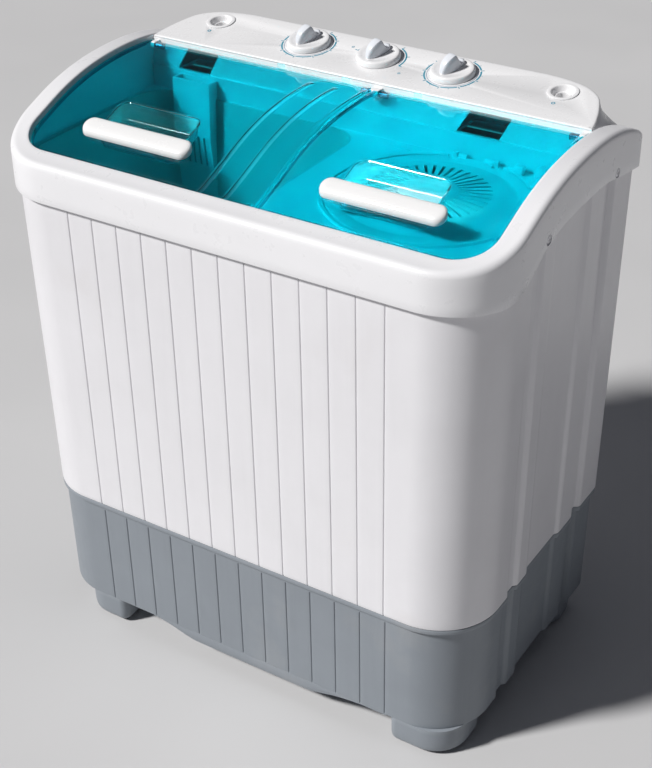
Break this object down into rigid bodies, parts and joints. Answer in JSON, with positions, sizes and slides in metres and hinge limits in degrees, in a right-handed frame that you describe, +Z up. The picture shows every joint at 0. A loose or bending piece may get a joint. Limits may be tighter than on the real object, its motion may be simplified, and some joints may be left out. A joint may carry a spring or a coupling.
{
  "type": "twin tub washer",
  "caption": "Portable washing machine with a wash tub and a spin tub side by side under clear hinged lids, a raised rear control panel with turn knobs, and a grooved cabinet on a darker base.",
  "frame": {"origin": "centre of the footprint on the floor, under the feet", "axes": "+X to the right of a person in front, +Y to the rear, +Z up"},
  "size_m": [0.59, 0.3472, 0.68],
  "materials": {
    "white_plastic": "satin",
    "panel_plastic": "satin",
    "grip_plastic": "satin",
    "knob_plastic": "satin",
    "grey_plastic": "matte",
    "blue_clear_plastic": "clear",
    "tub_plastic": "satin",
    "basket_plastic": "satin",
    "dark_plastic": "matte",
    "black_rubber": "matte",
    "steel": "brushed",
    "motor_paint": "satin",
    "cast_housing": "satin"
  },
  "bodies": {
    "cabinet": {"base_shell": "grey_plastic", "body_shell": "white_plastic", "brake_bracket": "steel", "capacitor": "dark_plastic", "control_panel_face": "panel_plastic", "control_panel_housing": "panel_plastic", "cord_gland": "black_rubber", "corner_feet": "grey_plastic", "drain_hose": "black_rubber", "drain_spigot": "dark_plastic", "drain_valve_body": "dark_plastic", "drive_belt": "black_rubber", "foot_pads": "black_rubber", "frame_screws": "steel", "inlet_funnel_left": "panel_plastic", "inlet_funnel_right": "panel_plastic", "inner_lid_pins": "steel", "lid_hinge_brackets": "panel_plastic", "lid_hinge_pins": "steel", "overflow_cover": "tub_plastic", "rear_cover": "white_plastic", "rear_cover_screws": "steel", "rear_shelf": "tub_plastic", "selector_switch": "dark_plastic", "spin_motor": "motor_paint", "spin_motor_mounts": "black_rubber", "spin_timer": "dark_plastic", "spin_tub": "tub_plastic", "spin_tub_bellows": "black_rubber", "top_frame": "white_plastic", "tub_deck": "tub_plastic", "wash_bearing_housing": "cast_housing", "wash_motor": "motor_paint", "wash_motor_bracket": "steel", "wash_timer": "dark_plastic", "wash_tub": "tub_plastic"},
    "wash_lid_body": {"wash_lid": "blue_clear_plastic", "wash_lid_grip": "grip_plastic"},
    "spin_lid_body": {"spin_lid": "blue_clear_plastic", "spin_lid_grip": "grip_plastic"},
    "inner_lid_body": {"spin_inner_lid": "tub_plastic"},
    "wash_timer_knob_body": {"wash_timer_knob": "knob_plastic", "wash_timer_shaft": "steel"},
    "selector_knob_body": {"selector_knob": "knob_plastic", "selector_shaft": "steel"},
    "spin_timer_knob_body": {"spin_timer_knob": "knob_plastic", "spin_timer_shaft": "steel"},
    "pulsator_body": {"pulsator": "basket_plastic", "pulsator_shaft": "steel", "drive_pulley": "cast_housing"},
    "motor_pulley_body": {"motor_pulley": "cast_housing", "wash_motor_shaft": "steel"},
    "spin_basket_body": {"spin_basket": "basket_plastic", "spin_shaft": "steel", "brake_drum": "steel"},
    "brake_lever_body": {"brake_lever": "steel"},
    "drain_plunger_body": {"drain_plunger": "dark_plastic"}
  },
  "joints": [
    {"name": "wash_lid_hinge", "type": "hinge", "parent": "cabinet", "child": "wash_lid_body", "pos_m": [-0.122, 0.084, 0.64], "axis": [-1, 0, 0], "range_deg": [0, 100]},
    {"name": "spin_lid_hinge", "type": "hinge", "parent": "cabinet", "child": "spin_lid_body", "pos_m": [0.149, 0.084, 0.64], "axis": [-1, 0, 0], "range_deg": [0, 100]},
    {"name": "inner_lid_hinge", "type": "hinge", "parent": "cabinet", "child": "inner_lid_body", "pos_m": [0.15, 0.082, 0.5935], "axis": [-1, 0, 0], "range_deg": [0, 70]},
    {"name": "wash_timer_turn", "type": "hinge", "parent": "cabinet", "child": "wash_timer_knob_body", "pos_m": [-0.089, 0.13759, 0.65706], "axis": [0, 0.1736, -0.9848], "range_deg": [0, 300]},
    {"name": "selector_turn", "type": "hinge", "parent": "cabinet", "child": "selector_knob_body", "pos_m": [0, 0.13759, 0.65706], "axis": [0, 0.1736, -0.9848], "range_deg": [0, 120]},
    {"name": "spin_timer_turn", "type": "hinge", "parent": "cabinet", "child": "spin_timer_knob_body", "pos_m": [0.09, 0.13759, 0.65706], "axis": [0, 0.1736, -0.9848], "range_deg": [0, 300]},
    {"name": "pulsator_spin", "type": "hinge", "parent": "cabinet", "child": "pulsator_body", "pos_m": [-0.128, -0.027, 0.15], "axis": [0, 0, 1], "continuous": true},
    {"name": "motor_pulley_spin", "type": "hinge", "parent": "cabinet", "child": "motor_pulley_body", "pos_m": [-0.015, -0.027, 0.15], "axis": [0, 0, 1], "continuous": true},
    {"name": "basket_spin", "type": "hinge", "parent": "cabinet", "child": "spin_basket_body", "pos_m": [0.15, -0.02, 0.2], "axis": [0, 0, 1], "continuous": true},
    {"name": "brake_lever_swing", "type": "hinge", "parent": "cabinet", "child": "brake_lever_body", "pos_m": [0.202, 0.026, 0.215], "axis": [0, 0, -1], "range_deg": [0, 8]},
    {"name": "drain_plunger_lift", "type": "slide", "parent": "cabinet", "child": "drain_plunger_body", "axis": [0, 0, 1], "range_m": [0, 0.012]}
  ],
  "couplings": [
    {"joint": "inner_lid_hinge", "follows": "spin_lid_hinge", "ratio": 0.7},
    {"joint": "brake_lever_swing", "follows": "spin_lid_hinge", "ratio": 0.08},
    {"joint": "motor_pulley_spin", "follows": "pulsator_spin", "ratio": 2.75},
    {"joint": "selector_turn", "follows": "drain_plunger_lift", "rad_per_m": 174.5}
  ]
}
